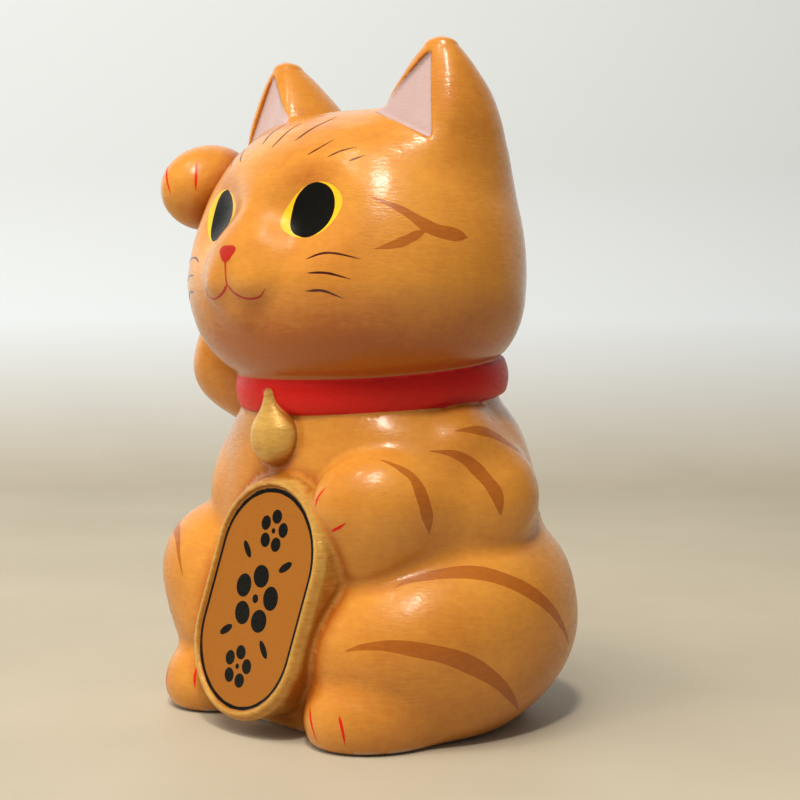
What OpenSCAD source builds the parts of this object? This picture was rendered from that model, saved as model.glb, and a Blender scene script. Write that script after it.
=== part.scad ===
// Hollow slip-cast lucky cat: castings and sprigged reliefs luted together with slip.
// Millimetres. The cat faces -Y, its left side is +X and it sits on Z = 0.

/* [Casting] */
// Wall thickness of the hollow castings
wall = 4.5; // [3.5:0.5:6]
// Diameter of the drain hole in the base
drain_d = 16; // [10:1:20]
// Diameter of the air vents between the castings
vent_d = 6; // [4:0.5:8]
// Facets round each casting
facets = 48; // [36:4:60]

/* [Torso] */
// Widest half width of the belly
belly_half_w = 52; // [48:1:54]
// Height of the seat where the head joins the torso
seat_z = 106; // [104:0.5:107]
// Radius of the neck under the collar
neck_r = 40.5; // [39:0.5:41]

/* [Haunches] */
// Distance of each haunch from the centre plane
haunch_x = 31; // [28:1:33]
// Half width of a haunch
haunch_half_w = 37.5; // [35:0.5:39]
// Half depth of a haunch
haunch_half_d = 50.5; // [48:0.5:52]
// Forward dip of the left haunch in degrees
haunch_tilt = 16; // [10:1:18]
// Radius of the raised right knee
knee_r = 24; // [22:0.5:25]

/* [Head] */
// Widest half width of the head
head_half_w = 58; // [55:0.5:60]
// Height of the crown above the base
crown_z = 192.5; // [190:0.5:194]
// Height of the ear tips above the base
ear_tip_z = 212; // [206:1:216]
// Depth of the painted hollow in each ear
ear_hollow = 1.2; // [0.5:0.1:2]
// Front-to-back radius of each eye socket
socket_r = 15; // [12:0.5:15.5]

/* [Arms] */
// Radius of the lowered forearm
forearm_r = 16; // [14:0.5:17]
// Radius of the raised forearm
raised_r = 12; // [10:0.5:13]

/* [Collar and bell] */
// Height of the collar band
collar_h = 12; // [10:0.5:13]
// Outer radius of the collar band
collar_r = 44.3; // [43:0.1:45]
// Backward tilt of the collar in degrees
collar_tilt = 4.3; // [3:0.1:5]
// Radius of the bell
bell_r = 9; // [8:0.2:9.4]

/* [Tablet] */
// Half width of the oval tablet
tablet_half_w = 25.6; // [24:0.2:26.6]
// Half height of the oval tablet
tablet_half_h = 38; // [36:0.1:38.4]
// Thickness of the oval tablet
tablet_t = 12; // [10:0.5:13]
// Backward lean of the tablet in degrees
tablet_lean = 11; // [9:0.5:13]
// Turn of the tablet towards the left paw in degrees
tablet_turn = 10.5; // [6:0.5:12]
// Width of the raised rim
rim_w = 3.4; // [3:0.1:4]
// Height of the rim above the face
rim_h = 0.8; // [0.4:0.1:1.2]

/* [Hidden] */
orange = [0.86, 0.55, 0.2];
red = [0.72, 0.07, 0.05];
gold = [0.8, 0.62, 0.22];
eps = 0.05;
ball_fn = 28;

// Body stations: height, half width, front, back, squareness of the section
torso_stations = [
    [0, belly_half_w - 4.5, -42, 40, 3.4],
    [10, belly_half_w - 2, -44, 43, 3],
    [30, belly_half_w, -44, 46, 2.6],
    [50, belly_half_w + 0.5, -43, 47, 2.4],
    [66, belly_half_w + 1.5, -42, 47, 2.5],
    [80, belly_half_w, -41, 46, 2.35],
    [92, belly_half_w - 4, -40, 44, 2.2],
    [102, neck_r, 1 - neck_r, 1 + neck_r, 2],
    [seat_z, neck_r, 1 - neck_r, 1 + neck_r, 2]];
torso_levels = [0, 4, 10, 20, 30, 42, 54, 66, 76, 86, 94, 100, seat_z];

// Head stations, from the seat to just under the crown
head_stations = [
    [seat_z, neck_r + 2, -neck_r - 1, neck_r - 5, 2],
    [112, head_half_w - 8.5, -50, 39, 2.05],
    [120, head_half_w - 3, -53.8, 41, 2.1],
    [132, head_half_w, -55.8, 42, 2.1],
    [145, head_half_w, -54.5, 42, 2.1],
    [158, head_half_w - 3, -51, 41, 2.1],
    [170, head_half_w - 8, -45.5, 38.5, 2.1],
    [180, head_half_w - 15.5, -38, 33, 2.1],
    [crown_z - 6, head_half_w - 24, -30, 26, 2.05],
    [crown_z - 2, head_half_w - 36, -20, 16, 2],
    [crown_z, 6, -7, 3, 2]];
head_levels = [seat_z, 109, 112, 116, 121, 128, 136, 145, 153, 161, 168, 174, 180,
               crown_z - 8.5, crown_z - 5, crown_z - 2, crown_z - 0.6, crown_z];
head_c = [0, -6, 148];
head_r = [head_half_w, 49, crown_z - 148];

// Ear stations: drop below the tip, centre x, centre y, half width, half depth
ear_stations = [
    [52, 29, 3, 14, 16], [42, 31, 2, 18, 19.5], [32, 32, 0.5, 19, 21], [22, 33, -1, 17.4, 19.2],
    [16, 34, -1.7, 15, 16.8], [11, 35, -2.7, 11.8, 12.4], [7, 35.6, -3.4, 8.9, 9],
    [3.5, 36.1, -4, 5.8, 5.9], [1, 36.4, -4.3, 3.4, 3.4], [0, 36.5, -4.5, 0.8, 0.8]];
ear_face_p = [34, -15.5, 189];
ear_face_n = [0.207, -0.937, 0.282];
ear_corners = [[21.5, -17, 189.2], [43, -15, 180], [36.6, -9, 206.6]];

neck_bore_r = 30;
vent_p = [-40, 3, 92];
haunch_z = 29.5;
haunch_half_h = 33;
haunch_power = 2.4;
haunch_steps = 6;
socket_p = [24, -58, 160.4];
socket_form = [socket_r + 3, socket_r, socket_r - 1.5];
torso_c = [0, 1, 52];
tail_r = 10.6;
bell_p = [1.2, -40.2, 89.8];
tablet_p = [3.8, -46.5, 41.6];

// One column of a station table at height z, by a smooth cubic between its rows
function row_at(t, z) = min([for (i = [0:len(t) - 2]) if (z <= t[i + 1][0]) i]);
function slope(t, i, c) =
    let (a = max(i - 1, 0), b = min(i + 1, len(t) - 1))
    (t[b][c] - t[a][c]) / (t[b][0] - t[a][0]);
function cubic(a, b, ma, mb, u) =
    (2 * u ^ 3 - 3 * u ^ 2 + 1) * a + (u ^ 3 - 2 * u ^ 2 + u) * ma
    + (3 * u ^ 2 - 2 * u ^ 3) * b + (u ^ 3 - u ^ 2) * mb;
function column(t, z, c) =
    let (i = row_at(t, z), h = t[i + 1][0] - t[i][0], u = (z - t[i][0]) / h)
    cubic(t[i][c], t[i + 1][c], slope(t, i, c) * h, slope(t, i + 1, c) * h, u);
function bulge(v, n) = sign(v) * abs(v) ^ (2 / n);

// Thin superellipse slice of a body at height z
module slice(t, z) {
    front = column(t, z, 2);
    back = column(t, z, 3);
    n = column(t, z, 4);
    translate([0, (front + back) / 2, z])
        linear_extrude(eps)
            polygon([for (k = [0:facets - 1])
                [column(t, z, 1) * bulge(cos(360 * k / facets), n),
                 (back - front) / 2 * bulge(sin(360 * k / facets), n)]]);
}

// Skin of slices, hulled from level to level
module skin(t, levels) {
    for (i = [0:len(levels) - 2])
        hull() {
            slice(t, levels[i]);
            slice(t, levels[i + 1]);
        }
}

// The same form shrunk by the wall towards its centre
module shrunk(c, r) {
    translate(c)
        scale([for (k = [0:2]) 1 - wall / r[k]])
            translate(-c)
                children();
}

// Ellipse in plan with a squarer upright profile; the left one dips and the right one rises in front
module haunch(side) {
    translate([side * haunch_x, 1, haunch_z])
        rotate([side > 0 ? haunch_tilt : -haunch_tilt / 2, 0, 0])
            hull()
                for (i = [-haunch_steps:haunch_steps]) {
                    a = 84 * i / haunch_steps;
                    f = bulge(cos(a), haunch_power);
                    translate([0, 0, haunch_half_h * bulge(sin(a), haunch_power)])
                        scale([haunch_half_w * f, haunch_half_d * f, 1])
                            cylinder(h = eps, r = 1, $fn = facets);
                }
}

module below_base() {
    translate([0, 0, -50])
        cube([200, 200, 100], center = true);
}

module torso_form() {
    difference() {
        union() {
            skin(torso_stations, torso_levels);
            haunch(1);
            haunch(-1);
            ball([-42, -22, 43.5], [knee_r, knee_r + 1, knee_r - 1]);
            ball([-34, -10, 70], [17.5, 24.5, 23]);
        }
        below_base();
    }
}

module collar_ring(inner_r) {
    half = collar_h / 2;
    edge = 1.2;
    translate([0, 1, seat_z])
        rotate([collar_tilt, 0, 0])
            rotate_extrude($fn = 96)
                union() {
                    translate([inner_r, -half])
                        square([collar_r - edge - inner_r, collar_h]);
                    translate([inner_r, edge - half])
                        square([collar_r - inner_r, collar_h - 2 * edge]);
                    for (s = [-1, 1])
                        translate([collar_r - edge, s * (half - edge)])
                            circle(edge, $fn = 24);
                }
}

module tablet_place() {
    translate(tablet_p)
        rotate([90 - tablet_lean, 0, 0])
            rotate([0, 0, -tablet_turn])
                children();
}

// Oval with straight flanks, drawn flat
module oval(inset) {
    for (s = [-1, 1])
        translate([0, s * (tablet_half_h - tablet_half_w)])
            circle(tablet_half_w - inset, $fn = 96);
    square([2 * (tablet_half_w - inset), 2 * (tablet_half_h - tablet_half_w)], center = true);
}

module tablet_form() {
    edge = 1.5;
    hull()
        for (back = [0, tablet_t])
            translate([0, back, 0])
                tablet_place()
                    for (inset = [0, edge])
                        translate([0, 0, inset - tablet_t / 2])
                            linear_extrude(tablet_t - edge)
                                oval(inset);
}

module torso_shell() {
    color(orange)
        difference() {
            torso_form();
            difference() {
                shrunk(torso_c, [belly_half_w, 45, 52])
                    torso_form();
                translate([0, 0, seat_z])
                    cylinder(h = 4 * wall, r = neck_r, center = true);
            }
            translate([0, 1, seat_z - 6 * wall])
                cylinder(h = 12 * wall, r = neck_bore_r, $fn = facets);
            translate([0, 14, -eps])
                cylinder(h = 3 * wall, d = drain_d, $fn = 32);
            translate(vent_p)
                rotate([0, 90, 0])
                    cylinder(h = 40, d = vent_d, center = true, $fn = 24);
            collar_ring(neck_r - 2);
        }
}

module ear_form(side) {
    mirror([side < 0 ? 1 : 0, 0, 0])
        difference() {
            for (i = [0:len(ear_stations) - 2])
                hull()
                    for (s = [ear_stations[i], ear_stations[i + 1]])
                        translate([s[1], s[2], ear_tip_z - s[0]])
                            scale([s[3], s[4], 1])
                                cylinder(h = eps, r = 1, $fn = 36);
            translate(ear_face_p + 1.5 * ear_face_n)
                rotate([atan2(ear_face_n[2], -ear_face_n[1]), 0, atan2(ear_face_n[0], -ear_face_n[1])])
                    translate([-40, -60, -60])
                        cube([80, 60, 120]);
        }
}

module ear_recess(side) {
    mirror([side < 0 ? 1 : 0, 0, 0])
        hull()
            for (p = ear_corners, depth = [-ear_hollow, 8])
                translate(p + depth * ear_face_n)
                    sphere(1, $fn = 12);
}

// Eye sockets, grown all round
module sockets(grown) {
    for (s = [-1, 1])
        ball([s * socket_p[0], socket_p[1], socket_p[2]], socket_form + grown * [1, 1, 1]);
}

module head_form() {
    difference() {
        union() {
            skin(head_stations, head_levels);
            ear_form(1);
            ear_form(-1);
        }
        sockets(0);
    }
    ball([0, -44.3, 143], [15, 13, 12]);
    for (s = [-1, 1])
        ball([6.8 * s, -49.3, 137.5], [8.5, 8.8, 7]);
    ball([0, -47, 129], [10, 7.5, 6]);
}

module head_shell() {
    color(orange)
        difference() {
            head_form();
            difference() {
                shrunk(head_c, head_r)
                    skin(head_stations, head_levels);
                sockets(wall);
            }
            translate([0, 1, seat_z - wall])
                cylinder(h = 4 * wall, r = neck_bore_r, $fn = facets);
            translate([0, 0, seat_z - 20])
                cube([200, 200, 40], center = true);
            ear_recess(1);
            ear_recess(-1);
            collar_ring(neck_r - 2);
        }
}

module ball(p, r) {
    translate(p)
        scale(r)
            sphere(1, $fn = ball_fn);
}

module link(p, r, q, s) {
    hull() {
        ball(p, r);
        ball(q, s);
    }
}

module raised_arm() {
    shoulder = [-38, 4, 91];
    elbow = [-61, -5, 110];
    wrist = [-62, -1, 150];
    paw = [-61, -18, 170.5];
    paw_r = [15, 18.5, 14.8];
    color(orange)
        difference() {
            union() {
                link(shoulder, 15 * [1, 1, 1], elbow, (raised_r + 2) * [1, 1, 1]);
                link(elbow, (raised_r + 2) * [1, 1, 1], wrist, raised_r * [1, 1, 1]);
                link(wrist, raised_r * [1, 1, 1], paw, paw_r);
            }
            link(shoulder, (15 - wall) * [1, 1, 1], elbow, (raised_r + 2 - wall) * [1, 1, 1]);
            link(elbow, (raised_r + 2 - wall) * [1, 1, 1], wrist, (raised_r - wall) * [1, 1, 1]);
            link(wrist, (raised_r - wall) * [1, 1, 1], paw, paw_r - wall * [1, 1, 1]);
            torso_form();
            head_form();
            collar_ring(0);
        }
}

module lowered_arm() {
    shoulder = [32, 2, 92];
    elbow = [41, 7, 71];
    wrist = [34.5, -21, 69.5];
    paw = [33, -29, 71.5];
    color(orange)
        difference() {
            union() {
                link(shoulder, (forearm_r - 1.5) * [1, 1, 1], elbow, (forearm_r + 1.5) * [1, 1, 1]);
                link(elbow, (forearm_r + 1.5) * [1, 1, 1], wrist, forearm_r * [1, 1, 1]);
                link([38, 2, 61], forearm_r * [1, 1, 1], [30.5, -27.5, 56], (forearm_r - 2) * [1, 1, 1]);
                translate(paw)
                    rotate([0, 0, -24])
                        ball([0, 0, 0], [13.5, 18.5, 14]);
            }
            torso_form();
            tablet_form();
            collar_ring(0);
            translate([0, 0, seat_z])
                cylinder(h = 20, r = 60);
        }
}

module foot(side) {
    color(orange)
        difference() {
            translate([side * 36, -30, 8])
                rotate([0, 0, -12 * side])
                    ball([0, 0, 0], [19, 23.5, 17]);
            below_base();
            torso_form();
            tablet_form();
        }
}

module left_foot() {
    foot(1);
}

module right_foot() {
    foot(-1);
}

module tail() {
    bend = [[-2, 42, 14], [1, 50, 20], [4, 53, 28], [5, 50, 37]];
    color(orange)
        difference() {
            for (i = [0:len(bend) - 2])
                link(bend[i], (tail_r - i) * [1, 1, 1], bend[i + 1], (tail_r - 1 - i) * [1, 1, 1]);
            torso_form();
        }
}

module collar_band() {
    color(red)
        collar_ring(neck_r - 2);
}

module bell() {
    tip = [1, -42.4, 102.8];
    color(gold)
        difference() {
            union() {
                ball(bell_p, [bell_r, bell_r - 1.4, bell_r]);
                link(bell_p + [0, -0.4, 4.2], 6.1 * [1, 1, 1], tip, 2.2 * [1, 1, 1]);
            }
            torso_form();
            collar_ring(0);
        }
}

module koban_tablet() {
    color(gold)
        difference() {
            tablet_form();
            tablet_place()
                translate([0, 0, tablet_t / 2 - rim_h])
                    linear_extrude(10)
                        oval(rim_w);
            below_base();
            torso_form();
        }
}

torso_shell();
head_shell();
raised_arm();
lowered_arm();
left_foot();
right_foot();
tail();
collar_band();
bell();
koban_tablet();
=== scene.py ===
"""Hollow slip-cast lucky cat: smooth glazed castings and hand-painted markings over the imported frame."""

import math

import bpy
import numpy as np
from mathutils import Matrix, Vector


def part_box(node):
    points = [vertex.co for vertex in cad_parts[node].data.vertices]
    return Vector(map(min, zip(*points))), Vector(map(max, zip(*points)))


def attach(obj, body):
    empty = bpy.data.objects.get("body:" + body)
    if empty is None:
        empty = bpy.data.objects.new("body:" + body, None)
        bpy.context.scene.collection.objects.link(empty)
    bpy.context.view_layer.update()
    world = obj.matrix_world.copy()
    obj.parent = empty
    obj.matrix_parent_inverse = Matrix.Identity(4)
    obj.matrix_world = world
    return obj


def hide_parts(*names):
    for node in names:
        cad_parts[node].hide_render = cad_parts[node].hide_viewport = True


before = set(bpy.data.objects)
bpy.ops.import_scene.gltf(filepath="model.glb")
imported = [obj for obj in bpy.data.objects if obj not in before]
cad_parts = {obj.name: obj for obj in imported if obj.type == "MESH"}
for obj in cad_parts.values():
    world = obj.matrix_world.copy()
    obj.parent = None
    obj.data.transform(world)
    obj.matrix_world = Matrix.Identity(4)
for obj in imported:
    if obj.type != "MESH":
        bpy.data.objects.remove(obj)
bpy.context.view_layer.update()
MM = 0.001

# ---------------------------------------------------------------- sizes taken from the frame, millimetres
# order of the joints: each piece is cut back by those before it
ORDER = ["collar_band", "torso_shell", "head_shell", "koban_tablet", "bell", "raised_arm", "lowered_arm",
         "left_foot", "right_foot", "tail"]
BOXES = {name: [np.array(c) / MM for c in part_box(name)] for name in ORDER}
SEAT_Z = round(BOXES["head_shell"][0][2], 3)
COLLAR_R = round(BOXES["collar_band"][1][0], 3)
HAUNCH_R = (37.5, 50.5, 33)
HAUNCH_C = (round(BOXES["torso_shell"][1][0], 3) - HAUNCH_R[0], 1, 29.5)

# ---------------------------------------------------------------- driving sizes, millimetres
WALL = 4.5
NECK_BORE_R = 30.0
# x, y and radius of the drain hole
DRAIN = (0.0, 14.0, 8.0)
COLLAR_TILT = math.radians(4.3)
COLLAR_IN, COLLAR_H = 38.5, 12.0
# the tablet's lean and turn, its middle, and half its width, height and thickness
TABLET_LEAN, TABLET_TURN = math.radians(11), math.radians(10.5)
TABLET_C = (3.8, -46.5, 41.6)
TABLET_W, TABLET_H, TABLET_T = 25.6, 38.0, 6.0
RIM_W, RIM_H = 3.4, 0.9
# a point on the front of the left ear, the way it faces, and the corners of its pink hollow
EAR_P = np.array([34.0, -15.5, 189.0])
EAR_N = np.array([0.207, -0.937, 0.282])
EAR_CORNERS = ((20.5, -17, 189.2), (44, -15, 179), (37, -8.5, 207.8))
EYE = (21.5, -42.5, 158.4)
CROWN_Z, EAR_TIP_Z = 192.2, 212
# how far the front of each haunch dips, in degrees
LEFT_DIP, RIGHT_DIP = 16, -8

# centre and radii of each rounded form
BALLS = {
    "right shoulder": ((-34, -10, 70), (17.5, 24.5, 23)),
    "left shoulder": ((40, -3.2, 87.5), (12.7, 13.5, 11)),
    "right knee": ((-42, -22, 43.5), (24, 25, 23)),
    "lowered paw": ((33, -29, 71.5), (13.5, 18.5, 14)),
    "raised paw": ((-61, -18, 170.5), (13, 18.5, 14.5)),
    "socket": ((24, -58, 160.4), (18, 15, 13.5)),
    "muzzle": ((0, -45, 143), (15, 13, 12)),
    "lip": ((6.8, -49.3, 137.5), (8.5, 8.8, 7)),
    "chin": ((0, -47, 129), (10, 7.5, 6)),
    "bell": ((1.2, -40.2, 89.8), (9.2, 7.6, 8.9)),
}
# both ends of each limb and its radius at each
LIMBS = {
    "left upper arm": ((33, 2, 89), (41, 7, 72), 14.5, 17.5),
    "left forearm": ((41, 7, 70), (34.5, -21, 69.5), 17.5, 16),
    "left underarm": ((38, 2, 61), (30.5, -27.5, 56), 16, 14),
    "right upper arm": ((-38, 4, 91), (-61, -5, 110), 15, 13.5),
    "right forearm": ((-61, -5, 110), (-62, -1, 150), 13.5, 11.5),
    "paw void": ((-62, -1, 150), (-61, -15, 167), 6, 6),
    "vent": ((-20, 3, 92), (-45, 1.3, 96.5), 3, 3),
    "bell stem": ((1.2, -40.6, 94), (1, -42.4, 102.8), 6.1, 2.2),
    "bell slot": ((-2.4, -48, 85.2), (5, -48, 85.8), 0.8, 0.8),
}
# points along the tail, from its root
TAIL = ((-2, 42, 14), (1, 50, 20), (4, 53, 28), (5, 50, 37))

# height, half width, front, back, squareness
TORSO = np.array([
    (0, 47.5, -42, 40, 3.4), (10, 50, -44, 43, 3), (30, 52, -44, 46, 2.6), (50, 52.5, -43, 47, 2.4),
    (66, 53.5, -42, 47, 2.5), (80, 52, -41, 46, 2.35), (92, 48, -40, 44, 2.2), (102, 40.5, -39.5, 41.5, 2),
    (112, 38, -37, 39, 2)], float)
HEAD = np.array([
    (100, 37, -37, 36, 2), (106, 40.5, -41, 38, 2), (110, 41.5, -42, 39, 2), (112, 43.7, -43.2, 39.6, 2),
    (114, 47, -45.2, 40.2, 2.02), (117, 50.2, -47.8, 40.8, 2.05), (122, 53.8, -51.4, 41.4, 2.1),
    (128, 56.5, -54, 42, 2.1), (135, 58, -55.5, 42, 2.1), (145, 57.8, -54.5, 42, 2.1),
    (158, 55, -51, 41, 2.1), (170, 50, -45.5, 38.5, 2.1), (180, 42.5, -38, 33, 2.1),
    (186, 34.5, -30, 26, 2.05), (189.5, 26, -22, 18, 2), (191.8, 14, -12.5, 9, 2),
    (192.6, 2, -3.5, 0, 2)], float)
# height, centre x, centre y, half width, half depth
EAR = np.array([
    (160, 29, 3, 13, 14), (170, 31, 2, 17, 18.5), (180, 32.3, 0.5, 18.5, 20.5), (190, 33.4, -1, 16.6, 18.4),
    (196, 34.2, -1.7, 14.1, 15.6), (201, 35, -2.7, 11.3, 12), (205, 35.6, -3.4, 8.7, 9),
    (208.5, 36.1, -4, 5.8, 5.9), (211, 36.4, -4.3, 3.4, 3.4), (212, 36.5, -4.5, 0.8, 0.8)], float)


# ---------------------------------------------------------------- distance fields, p is (x, y, z)
def blend(a, b, k):
    """Union of two forms with a fillet of about k."""
    h = np.maximum(k - np.abs(a - b), 0) / k
    return np.minimum(a, b) - h * h * k * 0.25


def carve(a, b, k):
    """Intersection of two forms with a rounded edge of about k."""
    return -blend(-a, -b, k)


def ball(p, c, r):
    q = [(p[i] - c[i]) / r[i] for i in range(3)]
    k = np.sqrt(q[0] ** 2 + q[1] ** 2 + q[2] ** 2)
    g = np.sqrt((q[0] / r[0]) ** 2 + (q[1] / r[1]) ** 2 + (q[2] / r[2]) ** 2)
    return k * (k - 1) / np.maximum(g, 1e-6)


def limb(p, a, b, ra, rb):
    """Round limb whose radius runs from ra at a to rb at b."""
    a, d = np.array(a, float), np.array(b, float) - np.array(a, float)
    q = [p[i] - a[i] for i in range(3)]
    h = np.clip((q[0] * d[0] + q[1] * d[1] + q[2] * d[2]) / (d @ d), 0, 1)
    return np.sqrt(sum((q[i] - d[i] * h) ** 2 for i in range(3))) - (ra + (rb - ra) * h)


def turned(p, c, axis, degrees):
    """p turned about c, so that a form drawn upright comes out tilted."""
    i, j = [k for k in range(3) if k != axis]
    co, si = math.cos(math.radians(degrees)), math.sin(math.radians(degrees))
    q = list(p)
    q[i] = c[i] + co * (p[i] - c[i]) + si * (p[j] - c[j])
    q[j] = c[j] - si * (p[i] - c[i]) + co * (p[j] - c[j])
    return q


def columns(table, z):
    """Every column of a station table at heights z, by a smooth cubic through its rows."""
    zs = table[:, 0]
    i = np.clip(np.searchsorted(zs, z) - 1, 0, len(zs) - 2)
    h = zs[i + 1] - zs[i]
    t = np.clip((z - zs[i]) / h, 0, 1)
    out = []
    for c in range(1, table.shape[1]):
        v = table[:, c]
        m = np.gradient(v, zs)
        out.append((2 * t ** 3 - 3 * t * t + 1) * v[i] + (t ** 3 - 2 * t * t + t) * h * m[i]
                   + (3 * t * t - 2 * t ** 3) * v[i + 1] + (t ** 3 - t * t) * h * m[i + 1])
    return out


def loft(p, table):
    """Body with superellipse sections from a station table."""
    half, front, back, n = columns(table, p[2])
    mid, deep = (front + back) / 2, (back - front) / 2
    k = ((np.abs(p[0]) / half) ** n + (np.abs(p[1] - mid) / deep) ** n) ** (1 / n)
    r = np.sqrt(p[0] ** 2 + (p[1] - mid) ** 2)
    return np.where(k > 1e-3, r * (1 - 1 / np.maximum(k, 1e-3)), -np.minimum(half, deep))


def plump(p, c, r, n):
    """Ellipse in plan with a squarer upright profile."""
    flat = np.sqrt(((p[0] - c[0]) / r[0]) ** 2 + ((p[1] - c[1]) / r[1]) ** 2)
    k = (flat ** n + (np.abs(p[2] - c[2]) / r[2]) ** n) ** (1 / n)
    reach = np.sqrt(sum((p[i] - c[i]) ** 2 for i in range(3)))
    return np.where(k > 1e-3, reach * (1 - 1 / np.maximum(k, 1e-3)), -min(r))


def mirrored(p):
    return [np.abs(p[0]), p[1], p[2]]


def along(p, origin, direction):
    return sum((p[i] - origin[i]) * direction[i] for i in range(3))


# ---------------------------------------------------------------- forms of the cat
def haunch(p, side, dip):
    """Thigh on one side, whose front end dips by some degrees."""
    centre = (side * HAUNCH_C[0], *HAUNCH_C[1:])
    return plump(turned(p, centre, 0, dip), centre, HAUNCH_R, 2.4)


def torso(p):
    trunk = carve(loft(p, TORSO), p[2] - SEAT_Z - 5, 3)
    trunk = blend(trunk, ball(p, *BALLS["right shoulder"]), 6)
    right = blend(haunch(p, -1, RIGHT_DIP), ball(p, *BALLS["right knee"]), 8)
    return blend(blend(trunk, haunch(p, 1, LEFT_DIP), 6), right, 4)


def foot(p, side):
    centre, splay = (side * 36, -30, 8), side * -12
    return ball(turned(p, centre, 2, splay), centre, (19, 23.5, 17))


def lowered_arm(p):
    upper = blend(limb(p, *LIMBS["left upper arm"]), ball(p, *BALLS["left shoulder"]), 6)
    centre, radii = BALLS["lowered paw"]
    paw = ball(turned(p, centre, 2, -24), centre, radii)
    arm = blend(blend(upper, limb(p, *LIMBS["left forearm"]), 8), limb(p, *LIMBS["left underarm"]), 10)
    return blend(arm, paw, 12)


def raised_arm(p, inset=0):
    """The arm, drawn in by inset for its hollow."""
    upper, fore = [limb(p, a, b, ra - inset, rb - inset)
                   for a, b, ra, rb in (LIMBS["right upper arm"], LIMBS["right forearm"])]
    centre, radii = BALLS["raised paw"]
    paw = ball(turned(p, centre, 0, 10), centre, [r - inset for r in radii])
    return blend(blend(upper, fore, 12), paw, 11)


def tail(p):
    """Curled tail, whose radius drops by 1 mm from each point to the next."""
    pieces = [limb(p, a, b, 10 - i, 9 - i) for i, (a, b) in enumerate(zip(TAIL, TAIL[1:]))]
    return blend(blend(pieces[0], pieces[1], 5), pieces[2], 5)


def ear(p):
    cx, cy, a, b = columns(EAR, p[2])
    k = np.sqrt(((p[0] - cx) / a) ** 2 + ((p[1] - cy) / b) ** 2)
    r = np.sqrt((p[0] - cx) ** 2 + (p[1] - cy) ** 2)
    d = np.where(k > 1e-3, r * (1 - 1 / np.maximum(k, 1e-3)), -np.minimum(a, b))
    d = carve(carve(d, p[2] - EAR_TIP_Z, 2), EAR[0, 0] - p[2], 3)
    face = along(p, EAR_P, EAR_N)
    d = carve(d, face - 1.6, 5)
    corners = [np.array(c, float) for c in EAR_CORNERS]
    centre = sum(corners) / 3
    inside = -face - 1.2
    for i in range(3):
        edge = np.cross(corners[(i + 1) % 3] - corners[i], EAR_N)
        edge /= np.linalg.norm(edge)
        edge *= np.sign((corners[i] - centre) @ edge)
        inside = carve(inside, along(p, corners[i], edge), 2)
    return d, inside


def skull_form(p):
    """The skull, whose jaw line is tilted with the collar."""
    tilted = np.clip((134 - p[2]) / 20, 0, 1)
    return loft((p[0], p[1], p[2] - math.tan(COLLAR_TILT) * (p[1] - 1) * tilted), HEAD)


def head(p):
    m = mirrored(p)
    skull = carve(carve(skull_form(p), p[2] - CROWN_Z, 4), SEAT_Z - 4 - p[2], 3)
    lobe, hollow = ear(m)
    d = blend(skull, lobe, 11)
    d = carve(d, -ball(m, *BALLS["socket"]), 10)
    d = blend(d, ball(p, *BALLS["muzzle"]), 9)
    d = blend(d, ball(m, *BALLS["lip"]), 4)
    d = blend(d, ball(p, *BALLS["chin"]), 5)
    return carve(d, -hollow, 0.8)


def collar(p):
    """Tilted band with rounded edges, a little barrelled."""
    edge, barrel = 1.2, 0.04
    y, z = p[1] - 1, p[2] - SEAT_Z
    up = z * math.cos(COLLAR_TILT) - y * math.sin(COLLAR_TILT)
    back = y * math.cos(COLLAR_TILT) + z * math.sin(COLLAR_TILT)
    r = np.sqrt(p[0] ** 2 + back ** 2)
    ring = np.abs(r - (COLLAR_IN + COLLAR_R) / 2) - (COLLAR_R - COLLAR_IN) / 2 + edge + barrel * up ** 2
    band = np.abs(up) - COLLAR_H / 2 + edge
    return np.minimum(np.maximum(ring, band), 0) + np.hypot(np.maximum(ring, 0), np.maximum(band, 0)) - edge


def bell(p):
    body = blend(ball(p, *BALLS["bell"]), limb(p, *LIMBS["bell stem"]), 3)
    return carve(body, -limb(p, *LIMBS["bell slot"]), 1)


def tablet_frame(p):
    """Place on the tablet: across, up its face and out from it."""
    x, up = p[0] - TABLET_C[0], (p[2] - TABLET_C[2]) / math.cos(TABLET_LEAN)
    front = TABLET_C[1] - TABLET_T / math.cos(TABLET_LEAN) + (p[2] - TABLET_C[2]) * math.tan(TABLET_LEAN)
    co, si = math.cos(TABLET_TURN), math.sin(TABLET_TURN)
    return x * co - up * si, x * si + up * co, (front - p[1]) * math.cos(TABLET_LEAN)


def past_oval(x, up):
    """Distance past the tablet's outline, from a place on its face."""
    return np.hypot(x, np.maximum(np.abs(up) - TABLET_H + TABLET_W, 0)) - TABLET_W


def tablet(p):
    """Oval tablet with a raised rim, which reaches back into the belly."""
    x, up, out = tablet_frame(p)
    d = carve(carve(past_oval(x, up), out, 4.5), -out - 22, 1)
    return carve(d, -carve(past_oval(x, up) + RIM_W, -out - RIM_H - 0.5, 1), 1.2)


FORMS = {
    "torso_shell": torso,
    "head_shell": head,
    "raised_arm": raised_arm,
    "lowered_arm": lowered_arm,
    "left_foot": lambda p: foot(p, 1),
    "right_foot": lambda p: foot(p, -1),
    "tail": tail,
    "collar_band": collar,
    "bell": bell,
    "koban_tablet": tablet,
}
# how softly each form runs into those before it
FILLET = {
    "torso_shell": 1, "left_foot": 3.5, "right_foot": 3.5, "tail": 3, "raised_arm": 6, "lowered_arm": 2.6,
    "koban_tablet": 2, "head_shell": 1, "collar_band": 0.8, "bell": 0.8,
}


def joined(forms, p):
    """The whole outer surface from the distances of its forms."""
    d = None
    for name, k in FILLET.items():
        if name in forms:
            d = forms[name] if d is None else blend(d, forms[name], k)
    return carve(d, -p[2], 2.5)


def joined_at(p, names=tuple(FORMS)):
    return joined({name: FORMS[name](p) for name in names}, p)


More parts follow.
